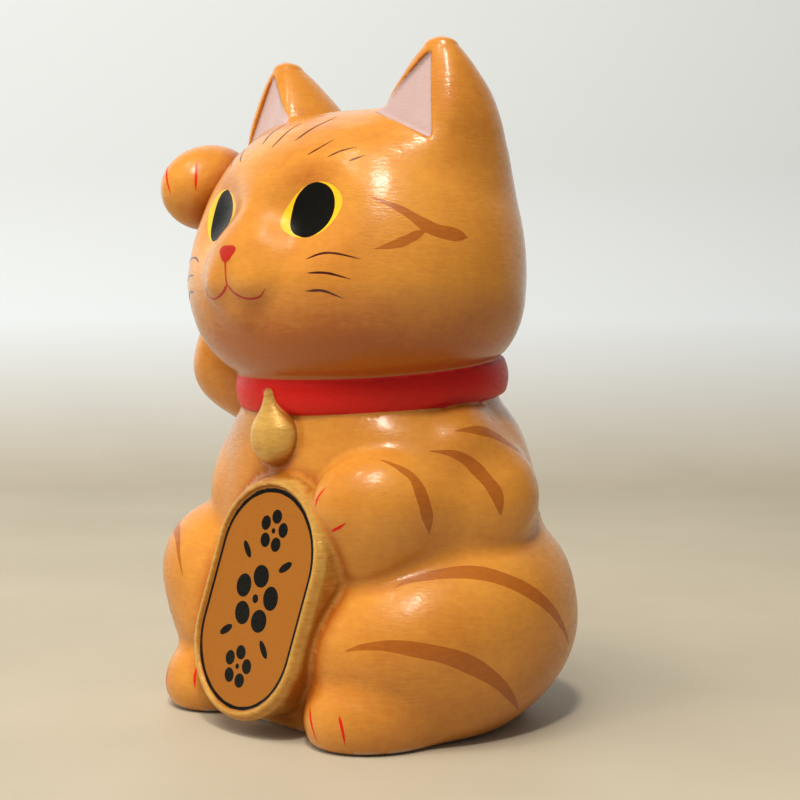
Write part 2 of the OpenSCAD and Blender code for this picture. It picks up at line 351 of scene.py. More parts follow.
# ---------------------------------------------------------------- castings as closed meshes
# the castings that meet on the flat seat, and the side of it that each is on
SEATED = {"torso_shell": 1, "head_shell": -1}
# reach of each piece's grid past its box
MARGIN = 9.3
# value of a field far from the surface
FAR = 1e3
# the glaze runs over the joints between the orange castings, which lap by this much
GLAZED = ("torso_shell", "head_shell", "raised_arm", "lowered_arm", "left_foot", "right_foot", "tail")
GLAZE_LAP = 0.35


def shrunk(form, c, r):
    """The form drawn in by the wall towards its centre."""
    s = [1 - WALL / k for k in r]
    return lambda p: min(s) * form([c[i] + (p[i] - c[i]) / s[i] for i in range(3)])


def tube(p, x, y, r):
    return np.hypot(p[0] - x, p[1] - y) - r


def torso_hollow(p):
    belly = shrunk(torso, (0, 1, 52), (52, 45, 52))(p)
    belly = np.maximum(np.maximum(belly, WALL + 0.5 - p[2]), p[2] - SEAT_Z + 2 * WALL)
    bore = np.maximum(tube(p, 0, 1, NECK_BORE_R), 80 - p[2])
    drain = np.maximum(tube(p, *DRAIN), p[2] - 12)
    return np.minimum(np.minimum(belly, bore), np.minimum(drain, limb(p, *LIMBS["vent"])))


def head_hollow(p):
    inside = shrunk(skull_form, (0, -6, 148), (58, 49, 44.5))(p)
    centre, radii = BALLS["socket"]
    inside = carve(inside, -ball(mirrored(p), centre, [r + WALL for r in radii]), 5)
    bore = np.maximum(tube(p, 0, 1, NECK_BORE_R), p[2] - 120)
    return np.minimum(np.maximum(inside, SEAT_Z + 2 - p[2]), bore)


def arm_hollow(p):
    return np.minimum(raised_arm(p, WALL), np.minimum(limb(p, *LIMBS["vent"]), limb(p, *LIMBS["paw void"])))


HOLLOWS = {"torso_shell": torso_hollow, "head_shell": head_hollow, "raised_arm": arm_hollow}


def neighbours(name, reach=12):
    """The piece and those whose boxes come within reach of its own."""
    low, high = BOXES[name]
    return [other for other, (a, b) in BOXES.items() if (a < high + reach).all() and (b > low - reach).all()]


def limits(name, names):
    """Fields whose largest is the piece: the skin, its joint faces, its seat and its hollow."""
    def fields(p):
        d = {key: FORMS[key](p) for key in names}
        joint = np.full(np.shape(p[0]), -FAR)
        rank = ORDER.index(name)
        for i, other in enumerate(ORDER):
            if other == name or other not in names or (other in SEATED and name in SEATED):
                continue
            own, theirs = d[name], d[other]
            gap = np.maximum(own, 0) - theirs if i < rank else own - np.maximum(theirs, 0)
            lap = GLAZE_LAP if name in GLAZED and other in GLAZED else 0
            joint = np.maximum(joint, gap - lap)
        out = [joined(d, p), joint]
        if name in SEATED:
            out.append(SEATED[name] * (p[2] - SEAT_Z))
        if name in HOLLOWS:
            out.append(-HOLLOWS[name](p))
        return np.stack(out)
    return fields


def slopes(fields, p, e=0.04):
    """Gradient of stacked fields at points p."""
    out = []
    for k in range(3):
        step = np.zeros(3)
        step[k] = e
        out.append((fields((p + step).T) - fields((p - step).T)) / (2 * e))
    return np.stack(out, -1)


def rule(low, high, spacing):
    """Grid lines from low to high, with a spacing that depends on the place."""
    lines = [low]
    while lines[-1] < high or len(lines) % 4 != 1:
        lines.append(lines[-1] + spacing(lines[-1]))
    return np.array(lines)


def sampled(fields, lines):
    """The largest field at every crossing near the surface, and only its sign elsewhere."""
    largest = lambda p: fields(p).max(0)
    coarse = largest(np.meshgrid(*[axis[::4] for axis in lines], indexing="ij"))
    n = [s - 1 for s in coarse.shape]
    ends = [coarse[i:n[0] + i, j:n[1] + j, k:n[2] + k] for i in (0, 1) for j in (0, 1) for k in (0, 1)]
    reach = 7 * max(np.diff(axis).max() for axis in lines)
    near = (np.min(np.abs(ends), 0) < reach) | (np.min(ends, 0) * np.max(ends, 0) < 0)
    for axis in range(3):
        near = near | np.roll(near, 1, axis) | np.roll(near, -1, axis)
    grow = lambda a: np.pad(a.repeat(4, 0).repeat(4, 1).repeat(4, 2), (0, 1), mode="edge")
    wanted = grow(near)
    for axis in range(3):
        view = np.moveaxis(wanted, axis, 0)
        view[1:] |= view[:-1].copy()
    values = np.where(grow(ends[0]) < 0, -FAR, FAR)
    at = np.argwhere(wanted)
    values[wanted] = largest([lines[k][at[:, k]] for k in range(3)])
    return values


def nets(values, lines):
    """Surface net: one point in each cell that the surface crosses, and quads between them."""
    inside = values < 0
    n = [s - 1 for s in values.shape]
    corners = [(i, j, k) for i in (0, 1) for j in (0, 1) for k in (0, 1)]
    count = sum(inside[i:i + n[0], j:j + n[1], k:k + n[2]].astype(np.int8) for i, j, k in corners)
    active = (count > 0) & (count < 8)
    cells = np.argwhere(active)
    ids = np.full(n, -1, np.int64)
    ids[active] = np.arange(len(cells))
    total, weight = np.zeros((len(cells), 3)), np.zeros(len(cells))
    for a in corners:
        for axis in range(3):
            if a[axis]:
                continue
            b = list(a)
            b[axis] = 1
            fa = values[tuple((cells + a).T)]
            fb = values[tuple((cells + b).T)]
            cut = (fa < 0) != (fb < 0)
            q = np.tile(np.array(a, float), (len(cells), 1))
            q[:, axis] += np.where(cut, fa / np.where(cut, fa - fb, 1), 0)
            total[cut] += q[cut]
            weight[cut] += 1
    place = cells + total / weight[:, None]
    points = np.stack([np.interp(place[:, k], np.arange(len(lines[k])), lines[k]) for k in range(3)], 1)
    quads = []
    for axis in range(3):
        u, t = (axis + 1) % 3, (axis + 2) % 3
        view = np.moveaxis(inside, axis, 0)
        edges = np.argwhere(view[:-1] != view[1:])
        back = np.argsort([axis] + [k for k in range(3) if k != axis])
        edges = edges[:, back]
        ok = np.all([(edges[:, k] > 0) & (edges[:, k] < values.shape[k] - 1) for k in (u, t)], 0)
        edges = edges[ok]
        ring = []
        for du, dt in ((-1, -1), (0, -1), (0, 0), (-1, 0)):
            c = edges.copy()
            c[:, u] += du
            c[:, t] += dt
            ring.append(ids[tuple(c.T)])
        ring = np.stack(ring, 1)
        flip = ~inside[tuple(edges.T)]
        ring[flip] = ring[flip][:, ::-1]
        quads.append(ring)
    return points, np.concatenate(quads), cells


def settled(points, cells, lines, fields, close=0.02):
    """Net points moved on to the surface, or on to the edge where two fields meet in their cell."""
    pick = np.arange(len(points))
    for _ in range(3):
        d, g = fields(points.T), slopes(fields, points)
        top = d.argmax(0)
        g = g[top, pick]
        step = d[top, pick] / np.maximum((g * g).sum(1), 1e-3)
        points = points - np.clip(step, -1.5, 1.5)[:, None] * g
    d = fields(points.T)
    order = np.argsort(-d, 0)
    size = np.stack([np.diff(lines[k])[cells[:, k]] for k in range(3)], 1)
    middle = np.stack([lines[k][cells[:, k]] for k in range(3)], 1) + size / 2
    near = np.where(d[order[0], pick] - d[order[1], pick] < 1.3 * size.max(1))[0]
    q, a, b, pick = points[near], order[0][near], order[1][near], np.arange(len(near))
    for _ in range(4):
        d, g = fields(q.T), slopes(fields, q)
        ga, gb, da, db = g[a, pick], g[b, pick], d[a, pick], d[b, pick]
        aa, bb, ab = (ga * ga).sum(1), (gb * gb).sum(1), (ga * gb).sum(1)
        det = np.maximum(aa * bb - ab * ab, 0.02)
        q = q + ((db * ab - da * bb) / det)[:, None] * ga + ((da * ab - db * aa) / det)[:, None] * gb
    d = fields(q.T)
    fits = (np.abs(q - middle[near]) < 0.85 * size[near]).all(1) & (d.max(0) < 0.05)
    fits &= (np.abs(d[a, pick]) < close) & (np.abs(d[b, pick]) < close)
    points[near[fits]] = q[fits]
    return points


def crease_at(points, normals, names):
    """How far a place lies in a hollow between forms, from 0 to 1: the amount of painted shade there."""
    out = 0
    # painted shade: the deeper a point sits between forms, the darker its tone
    for reach in (3.5, 9):
        gap = joined_at((points + reach * normals).T, names) / reach
        out = out + 0.5 * np.clip(1.15 * (1 - gap), 0, 1)
    return out


def airbrush_and_shade(name, points, normals, names):
    """Share of the deep tone: painted shade in creases, painted shade over some airbrush tone under the chin
    and over the eyes, and the tablet's darker face and side.
    """
    # painted shade: deeper tone in the hollows between forms
    shade = crease_at(points, normals, names)
    x, y, z = points.T
    if name == "head_shell":
        # painted shade under the chin, on faces turned downwards, over some real airbrush tone
        shade += 0.7 * np.clip((142 - z) / 26, 0, 1) * np.clip(0.8 - normals[:, 2], 0, 1)
        # darker band over the eyes, in the hollow under the brow: painted shade, partly airbrush tone
        brow = np.hypot((np.abs(x) - 22) / 15, (z - 170) / 6)
        shade += 0.35 * np.clip(1.2 - brow, 0, 1) * (y < -20)
    if name == "koban_tablet":
        across, up, out = tablet_frame(points.T)
        face = np.clip(0.5 - past_oval(across, up) - RIM_W, 0, 1)
        side = np.clip(0.4 - (out + 3.4) / 2.8, 0, 0.4)
        shade = np.maximum(shade, np.maximum(face, side))
    return shade


def new_mesh(name, points, faces, *materials):
    """Smooth mesh from points in metres."""
    mesh = bpy.data.meshes.new(name)
    mesh.from_pydata(points, [], faces)
    for material in materials:
        mesh.materials.append(material)
    mesh.polygons.foreach_set("use_smooth", np.ones(len(faces), bool))
    return mesh


def placed(data, name):
    """New object in the scene."""
    obj = bpy.data.objects.new(name, data)
    bpy.context.scene.collection.objects.link(obj)
    return obj


def finished(mesh, name):
    obj = placed(mesh, name)
    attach(obj, "root")
    return obj


def casting(name, material, bare, spacing):
    """One piece as a closed mesh with the skin's own normals."""
    names = neighbours(name)
    fields = limits(name, names)
    low, high = BOXES[name][0] - MARGIN, BOXES[name][1] + MARGIN
    lines = [rule(low[k], high[k], spacing[k]) for k in range(3)]
    points, quads, cells = nets(sampled(fields, lines), lines)
    points = settled(points, cells, lines, fields)
    g = slopes(fields, points)
    g /= np.maximum(np.linalg.norm(g, axis=-1, keepdims=True), 1e-6)
    middle = points[quads].mean(1)
    d = fields(middle.T)
    # slivers along a joint line take the skin's normal and glaze
    label = np.where(d[0] < -0.5, d.argmax(0), 0)
    mesh = new_mesh(name + "_cast", (points * MM).tolist(), quads.tolist(), material, bare)
    # joint faces, hollows and the resting face are bare
    mesh.polygons.foreach_set("material_index", ((label > 0) | (middle[:, 2] < 0.35)).astype(np.int32))
    # the crease attribute carries the painted shade of hollows, chin and brow, with some airbrush tone
    shade = mesh.attributes.new("crease", "FLOAT", "POINT")
    shade.data.foreach_set("value", airbrush_and_shade(name, points, g[0], names).astype(np.float32))
    mesh.normals_split_custom_set(g[np.repeat(label, 4), quads.ravel()].tolist())
    mesh.update()
    return finished(mesh, name + "_cast")


# ---------------------------------------------------------------- paint, laid on the skin as thin films
def on_skin(p, along=None, names=tuple(FORMS)):
    """Points moved on to the skin, down its slope or along one direction, and the skin's normals there."""
    stacked = lambda q: joined_at(q, names)[None]
    for _ in range(5):
        g = slopes(stacked, p)[0]
        way = g if along is None else np.broadcast_to(along, g.shape)
        step = joined_at(p.T, names) / np.where(np.abs((g * way).sum(1)) < 0.05, 0.05, (g * way).sum(1))
        p = p - np.clip(step, -2, 2)[:, None] * way
    g = slopes(stacked, p)[0]
    return p, g / np.linalg.norm(g, axis=1, keepdims=True)


def smooth_line(marks, step=0.5):
    """Smooth curve through a few marks."""
    marks = np.array(marks, float)
    ends = np.vstack([2 * marks[0] - marks[1], marks, 2 * marks[-1] - marks[-2]])
    out = []
    for a, b, c, d in zip(ends, ends[1:], ends[2:], ends[3:]):
        t = np.arange(max(2, math.ceil(np.linalg.norm(c - b) / step)))[:, None]
        t = t / len(t)
        out.append(b + (c - a) * t / 2 + (2 * a - 5 * b + 4 * c - d) * t ** 2 / 2
                   + (3 * b - a - 3 * c + d) * t ** 3 / 2)
    return np.vstack(out + [marks[-1:]])


# places across a stroke, and its height there: proud in the middle, and under the glaze at both edges
ACROSS = np.linspace(-1, 1, 9)
DIP = -0.06
PROUD = np.where(np.abs(ACROSS) > 0.99, DIP, 0.05 + 0.03 * (1 - ACROSS ** 2))


def film(name, sheets, material):
    """One painted marking: sheets are (points, normals, quads)."""
    points, normals, quads, first = [], [], [], 0
    for p, n, q in sheets:
        points.append(p)
        normals.append(n)
        a, b, c = [p[[face[i] for face in q]] for i in range(3)]
        turn = (np.cross(b - a, c - a) * n[[face[0] for face in q]]).sum() < 0
        quads += [[i + first for i in (face[::-1] if turn else face)] for face in q]
        first += len(p)
    points, normals = np.vstack(points), np.vstack(normals)
    mesh = new_mesh(name, (points * MM).tolist(), quads, material)
    loops = np.empty(len(mesh.loops), np.int32)
    mesh.loops.foreach_get("vertex_index", loops)
    mesh.normals_split_custom_set(normals[loops].tolist())
    mesh.update()
    return finished(mesh, name)


def brushed(u, start, end):
    """Width of a brush stroke along its length u: start and end are the shares that taper."""
    rise = lambda x: np.sin(np.clip(x, 0, 1) * math.pi / 2) ** 0.8
    return rise(u / start) * rise((1 - u) / end)


def strip(line, half, closed=False, along=None, names=tuple(FORMS)):
    """Strip of paint along a line, with its half width at each point."""
    line, normal = on_skin(line, along, names)
    ahead = np.roll(line, -1, 0) - np.roll(line, 1, 0) if closed else np.gradient(line, axis=0)
    side = np.cross(normal, ahead)
    side /= np.maximum(np.linalg.norm(side, axis=1, keepdims=True), 1e-9)
    rows, count = len(line), len(ACROSS)
    p = line[:, None] + side[:, None] * (half[:, None] * ACROSS)[..., None]
    p, n = on_skin(p.reshape(-1, 3), along, names)
    p = p + np.tile(PROUD, rows)[:, None] * n
    last = rows if closed else rows - 1
    quads = [[i * count + j, i * count + j + 1, (i + 1) % rows * count + j + 1, (i + 1) % rows * count + j]
             for i in range(last) for j in range(count - 1)]
    return p, n, quads


def stroke(marks, width, start=0.3, end=0.3, seed=0, **kw):
    """Hand-painted stroke through a few marks."""
    line = smooth_line(marks)
    u = np.linspace(0, 1, len(line))
    waver = 1 + 0.07 * np.sin(9 * u + 2.1 * seed) + 0.05 * np.sin(23 * u + 1.3 * seed)
    return strip(line, 0.5 * width * waver * np.maximum(brushed(u, start, end), 0.02), **kw)


def patch(outline, centre, across, up, along, lift=0.0, rings=14, spokes=96, names=tuple(FORMS)):
    """Filled patch: outline(angle) gives its edge as (across, up) from the centre."""
    angle = np.arange(spokes) * 2 * math.pi / spokes
    a, b = outline(angle)
    r = np.linspace(0, 1, rings + 1)[1:, None]
    flat = np.stack([np.append(0, (r * a).ravel()), np.append(0, (r * b).ravel())], 1)
    p = np.array(centre, float) + flat[:, :1] * np.array(across, float) + flat[:, 1:] * np.array(up, float)
    p, n = on_skin(p, np.array(along, float), names)
    high = np.full(len(p), 0.07 + lift)
    high[-spokes:] = DIP
    quads = [[0, 1 + j, 1 + (j + 1) % spokes] for j in range(spokes)]
    for i in range(rings - 1):
        for j in range(spokes):
            k = 1 + i * spokes
            quads.append([k + j, k + spokes + j, k + spokes + (j + 1) % spokes, k + (j + 1) % spokes])
    return p + high[:, None] * n, n, quads


# the forms that paint on the face and on the tablet lies on
FACE, TABLET = ("head_shell",), ("koban_tablet",)


def both(marks, *args, **kw):
    """The same stroke on both sides of the cat."""
    return [stroke([(side * x, y, z) for x, y, z in marks], *args, **kw) for side in (1, -1)]


def spun(x, y, degrees):
    """x and y turned by some degrees."""
    co, si = math.cos(math.radians(degrees)), math.sin(math.radians(degrees))
    return co * x - si * y, si * x + co * y


def oval(a, b, power=2.0, turn=0.0):
    """Superellipse outline, turned by some degrees."""
    part = lambda size, share: size * np.sign(share) * np.abs(share) ** (2 / power)
    return lambda t: spun(part(a, np.cos(t)), part(b, np.sin(t)), turn)


def almond(a, b, turn=0.0):
    """Eye shape with a pointed corner at each side, its outer corner turned up by some degrees."""
    return lambda t: spun(a * np.cos(t), b * np.sin(t) * (1 - 0.16 * np.abs(np.cos(t)) ** 2.5), turn)


UP, FORWARD = (0, 0, 1), (0, -1, 0)


def eye_patches(outline_of, outward, lift=0.0):
    """One patch on each eye, outward of its middle; outline_of takes the side."""
    yaw, out = math.radians(24), []
    for side in (1, -1):
        centre, across = (side * (EYE[0] + outward), *EYE[1:]), (math.cos(yaw), side * math.sin(yaw), 0)
        out.append(patch(outline_of(side), centre, across, UP, FORWARD, lift, names=FACE))
    return out


def nose(t):
    """Rounded triangle, point down."""
    r = 1 + 0.14 * np.cos(3 * t - math.pi / 2)
    return 3.7 * r * np.cos(t), 2.6 * r * np.sin(t)


def paint_face(mat):
    yellows = eye_patches(lambda side: almond(11.4, 8.5, 11 * side), 0.4)
    film("eye_yellows", yellows, mat["yellow"])
    pupils = eye_patches(lambda side: oval(8 + 0.7 * side, 8.4, 2.1, 12 * side), 0.3, 0.08)
    film("eye_pupils", pupils, mat["black"])
    nose_patch = patch(nose, (0, -58, 146), (1, 0, 0), UP, FORWARD, 0.05, names=FACE)
    film("nose_paint", [nose_patch], mat["lip"])
    lip = [(0, -58.4, 136.6), (2.2, -58.4, 134.2), (5.2, -57.9, 132.7), (8.7, -57, 132), (12.3, -56, 132.7),
           (14.6, -55.6, 135.2)]
    mouth = [stroke([(0, -58.9, 143.8), (0.1, -58.5, 140), (0, -58.4, 136.2)], 0.9, 0.1, 0.1, names=FACE)]
    film("mouth_line", mouth + both(lip, 0.9, 0.1, 0.35, names=FACE), mat["lip"])
    whiskers = [[(25.8, -49.8, 143.8), (29.8, -48, 145.4), (34, -46, 145.4), (41, -41.7, 143.6)],
                [(27.3, -50.3, 139.7), (33, -47.7, 139.6), (39.3, -44, 137.8)],
                [(27, -51, 134.4), (32.3, -48.6, 134.4), (37.5, -45.4, 132.1)]]
    film("whiskers", [s for i, w in enumerate(whiskers) for s in both(w, 0.8, 0.25, 0.6, i, names=FACE)],
         mat["maroon"])
    brows = [[(16, -40.4, 175), (19, -37.5, 177.4), (21.3, -34, 179.8)],
             [(23, -38.6, 174), (26, -35.8, 175.9), (29.5, -32.6, 177)],
             [(29.8, -36, 172.6), (33, -32.5, 174.4)]]
    crown = [[(7, -37.6, 180), (9.6, -31.7, 184.5), (11.6, -24.5, 187.9)],
             [(-1.5, -39.5, 178.4), (-1, -35, 182.7), (-0.6, -28.5, 186.8)],
             [(-9, -37, 180), (-11, -31.5, 184.4), (-12.2, -25, 187.6)]]
    strokes = [s for i, w in enumerate(brows) for s in both(w, 0.75, 0.3, 0.7, i, names=FACE)]
    film("brow_strokes", strokes + [stroke(w, 1.1, 0.25, 0.9, i, names=FACE) for i, w in enumerate(crown)],
         mat["line"])
    cheek = [(39.5, -36.3, 161.6), (46.4, -31, 158.1), (52.7, -24, 152.4), (56.6, -13.6, 150.2)]
    branch = [(43.7, -38.7, 146.5), (48.3, -33, 148.3), (52.2, -26, 152.2)]
    cheeks = both(cheek, 4.7, 0.9, 0.12, 1, names=FACE) + both(branch, 3.4, 0.7, 0.3, 2, names=FACE)
    film("cheek_stripes", cheeks, mat["stripe"])
    film("ear_pinks", ear_patches(), mat["pink"])


def ear_patches():
    """Pink floor of each ear's hollow."""
    corners = np.array(EAR_CORNERS, float)
    centre = corners.mean(0)
    across = np.cross(EAR_N, (0, 0, 1))
    across /= np.linalg.norm(across)
    up = np.cross(across, EAR_N)
    spots = [((c - centre) @ across, (c - centre) @ up) for c in corners]

    def outline(t):
        """Distance to the nearest side of the triangle, with softened corners."""
        total = 0
        for i in range(3):
            (x0, y0), (x1, y1) = spots[i], spots[(i + 1) % 3]
            n = np.array([y1 - y0, x0 - x1]) / math.hypot(x1 - x0, y1 - y0)
            n *= np.sign(n @ spots[i])
            d = max(n @ spots[i], 0.1) - 0.15
            total = total + np.maximum((n[0] * np.cos(t) + n[1] * np.sin(t)) / d, 0) ** 22
        r = total ** (-1 / 22)
        return r * np.cos(t), r * np.sin(t)

    out = []
    for side in (1, -1):
        turn = np.array([side, 1, 1])
        out.append(patch(outline, centre * turn, across * turn, up * turn, EAR_N * turn, rings=20, spokes=120,
                         names=FACE))
    return out


def paint_arms(mat):
    near = [(39.6, -33, 84.6), (45.2, -29.6, 81.8), (48, -27.5, 79), (50.7, -26, 72), (51, -24, 63.6)]
    middle = [(45.8, -18.7, 87), (49.5, -11.4, 85.6), (52.2, -6.8, 82), (57.8, -2.7, 74.8), (59, -1.3, 67.4)]
    shoulder = [(46.5, -9, 91), (51.5, 2.5, 91.3), (52.5, 14.5, 86.5), (48.5, 27, 77)]
    wrist = [[(-72, -8, 140), (-66, -13.6, 139), (-58, -11, 140)],
             [(-73.5, -6, 124), (-68, -15, 122), (-58, -16, 121)]]
    strokes = [stroke(near, 4.7, 0.8, 0.25, 1), stroke(middle, 5.2, 0.8, 0.25, 2),
               stroke(shoulder, 3.8, 0.25, 0.7, 3)]
    film("arm_stripes", strokes + [stroke(w, 2.6, 0.6, 0.6, 4) for w in wrist], mat["stripe"])


def paint_haunches(mat):
    upper = [(46, -34, 48.4), (50, -28, 51.2), (58, -13, 51.4), (64.3, -1.8, 47.8), (67, 13.6, 37.6),
             (63.5, 25.3, 25)]
    lower = [(40, -47.2, 30.3), (46, -43.5, 32), (53.5, -38.5, 32.3), (63, -25, 28.3), (66.7, -11.3, 20),
             (62, 4, 7.6)]
    knee = [(-36.3, -47.5, 43), (-40.6, -46.8, 49), (-46.4, -44, 55), (-56, -36, 57), (-63, -24, 56),
            (-66, -8, 50), (-67, 10, 38), (-63.5, 25.3, 25)]
    shin = [(-44.5, -42.5, 30.3), (-50, -40.5, 30), (-57, -34, 28), (-63, -22, 24), (-64, -8, 16),
            (-60, 4, 7.6)]
    sheets = [stroke(w, 6, 0.5, 0.6, i) for i, w in enumerate((upper, lower, knee, shin))]
    film("haunch_stripes", sheets, mat["stripe"])


def paint_back(mat):
    """Guessed short strokes down the back and bands round the tail."""
    back = [[(46.5, 31, 64.5), (41, 39, 60), (33, 45, 54)], [(40, 34, 84), (30, 41, 80), (21, 45, 75)],
            [(28, 36, 150), (19, 39.5, 147), (12, 41, 142)], [(31, 32, 166), (22, 36.5, 164), (14, 39, 160)]]
    bands = [[(-7, 55.5, 26), (2, 63, 27), (11.5, 57, 28)], [(-3, 56, 36), (4.5, 61.5, 37), (12.5, 55, 38)]]
    stripes = [s for i, w in enumerate(back) for s in both(w, 3.6, 0.5, 0.6, i)]
    film("back_stripes", stripes + [stroke(w, 3, 0.4, 0.4, 3) for w in bands], mat["stripe"])


def paint_claws(mat):
    lowered_paw = [[(26.3, -46.5, 71), (27.6, -46.3, 74), (30, -45.3, 76.8)],
                   [(32.6, -47, 64), (35.4, -46.1, 65.4), (38, -45, 67.2)]]
    left_foot = [[(29.6, -50.5, 12.8), (32.3, -52, 8), (33.8, -51.5, 3.6)],
                 [(41.2, -50.3, 12.2), (42.7, -50.4, 8), (43, -49.8, 4)]]
    right_foot = [[(-27.6, -50.5, 15.5), (-27, -51.8, 12), (-26.5, -52, 8.5)],
                  [(-41.2, -50.3, 12.2), (-42.2, -50.4, 8), (-42.4, -49.8, 4)]]
    raised_paw = [[(-64, -32, 176.2), (-60.8, -35.5, 171.9), (-58.8, -36.2, 167.6)],
                  [(-54.6, -28.4, 177.2), (-52.2, -30.6, 171.7), (-51.7, -31, 168)]]
    claws = lowered_paw + left_foot + right_foot + raised_paw
    film("claw_lines", [stroke(w, 1.05, 0.3, 0.6, i) for i, w in enumerate(claws)], mat["red"])


def on_tablet(x, up):
    """Place on the tablet's face, x across and up its slope."""
    co, si = math.cos(TABLET_TURN), math.sin(TABLET_TURN)
    x, up = np.broadcast_arrays(np.asarray(x, float), np.asarray(up, float))
    x, up = x * co + up * si, up * co - x * si
    co, si = math.cos(TABLET_LEAN), math.sin(TABLET_LEAN)
    return np.stack([TABLET_C[0] + x, TABLET_C[1] - TABLET_T / co + up * si, TABLET_C[2] + up * co], -1)


def tablet_axes():
    """Steps of 1 mm across the tablet's face, up it and out of it."""
    across, up = on_tablet(1, 0) - on_tablet(0, 0), on_tablet(0, 1) - on_tablet(0, 0)
    return across, up, np.cross(across, up)


def tablet_outline(mat, inset=4.4, turns=240, step=0.6):
    """Black line round the face, broader towards the top."""
    turn = np.linspace(0, 2 * math.pi, turns, endpoint=False)
    r, flank = TABLET_W - inset, TABLET_H - TABLET_W
    line = np.stack([r * np.sin(turn), r * np.cos(turn) + np.sign(np.cos(turn)) * flank], 1)
    ahead = np.roll(line, -1, 0)
    shares = [max(1, round(gap / step)) for gap in np.linalg.norm(ahead - line, axis=1)]
    fine = np.array([a + (b - a) * k / n for a, b, n in zip(line, ahead, shares) for k in range(n)])
    half = 0.62 + 0.26 * np.clip(fine[:, 1] / TABLET_H, -0.2, 1) ** 2 + 0.06 * np.sin(fine[:, 0])
    sheet = strip(on_tablet(*fine.T), half, closed=True, along=tablet_axes()[2], names=TABLET)
    film("koban_outline", [sheet], mat["black"])


def blossom(v, size):
    """Blots of a five-petalled blossom at height v on the face: (x, v, a, b, degrees)."""
    blots = [(0, v, 0.13 * size, 0.13 * size, 0)]
    for degrees in range(90, 450, 72):
        t = math.radians(degrees)
        x, y = 0.62 * size * math.cos(t), 0.62 * size * math.sin(t)
        blots.append((x, v + y, 0.33 * size, 0.35 * size, degrees))
    return blots


def tablet_ornament(mat):
    """Three blossoms and four leaves."""
    across, up, out = tablet_axes()
    blots = blossom(0, 11.5) + blossom(21.5, 7.2) + blossom(-21.5, 7.2)
    blots += [(side * 9.6, v * 12.896, 3.4, 1.35, side * v * 40) for side in (-1, 1) for v in (1, -1)]
    sheets = [patch(oval(a, b, 2.0, degrees), on_tablet(x, v), across, up, out, rings=5, spokes=40,
                    names=TABLET) for x, v, a, b, degrees in blots]
    film("koban_ornament", sheets, mat["black"])


# ---------------------------------------------------------------- finishes
def shader(name):
    """New material, its nodes and its surface node."""
    material = bpy.data.materials.new(name)
    material.use_nodes = True
    return material, material.node_tree, material.node_tree.nodes["Principled BSDF"]


def feed(tree, inputs, values):
    """Give inputs, by name, their values: numbers, vectors, colours or other sockets."""
    for key, value in values.items():
        socket = inputs[key]
        if isinstance(value, bpy.types.NodeSocket):
            tree.links.new(value, socket)
        else:
            socket.default_value = (*value, 1) if socket.type == "RGBA" else value


def new_node(tree, kind, values):
    node = tree.nodes.new("ShaderNode" + kind)
    feed(tree, node.inputs, values)
    return node


def spot(tree):
    """The object's own coordinates, in metres."""
    return new_node(tree, "TexCoord", {}).outputs["Object"]


def noise(tree, scale, stretch=(1, 1, 1), detail=3.0, rough=0.55, shift=0.0):
    moved = (shift, 0.7 * shift, 1.3 * shift)
    mapping = new_node(tree, "Mapping", {"Vector": spot(tree), "Scale": stretch, "Location": moved})
    values = {"Vector": mapping.outputs["Vector"], "Scale": scale, "Detail": detail, "Roughness": rough}
    return new_node(tree, "TexNoise", values).outputs["Fac"]


def between(tree, fac, low, high, out_low=0.0, out_high=1.0):
    """fac from low to high, spread from out_low to out_high and held at the ends."""
    values = {"Value": fac, "From Min": low, "From Max": high, "To Min": out_low, "To Max": out_high}
    return new_node(tree, "MapRange", values).outputs["Result"]


def mixed(tree, fac, a, b):
    """Colour a to colour b by fac; a and b are colours or sockets."""
    node = new_node(tree, "Mix", {"Factor": fac})
    node.data_type = "RGBA"
    feed(tree, dict(enumerate(s for s in node.inputs if s.type == "RGBA")), {0: a, 1: b})
    return [s for s in node.outputs if s.type == "RGBA"][0]


def reckoned(tree, a, b, operation="MULTIPLY"):
    """Product or sum of a and b, which are numbers or sockets."""
    node = new_node(tree, "Math", {0: a, 1: b})
    node.operation = operation
    return node.outputs[0]


def ridged(tree, surface, height, strength, distance, coat=True):
    """Relief on the surface, and on its coat."""
    bump = new_node(tree, "Bump", {"Strength": strength, "Distance": distance, "Height": height})
    feed(tree, surface.inputs, {"Normal": bump.outputs["Normal"]})
    if coat:
        feed(tree, surface.inputs, {"Coat Normal": bump.outputs["Normal"]})


def height_above_base(tree):
    return new_node(tree, "SeparateXYZ", {0: spot(tree)}).outputs["Z"]


# noise scales, in cells a metre, and the stretch that lays brush marks level
BLOTCH, BRUSH, FLECK, RIPPLE, SPECK = 28, 260, 420, 700, 120
LEVEL = (1, 1, 3.6)


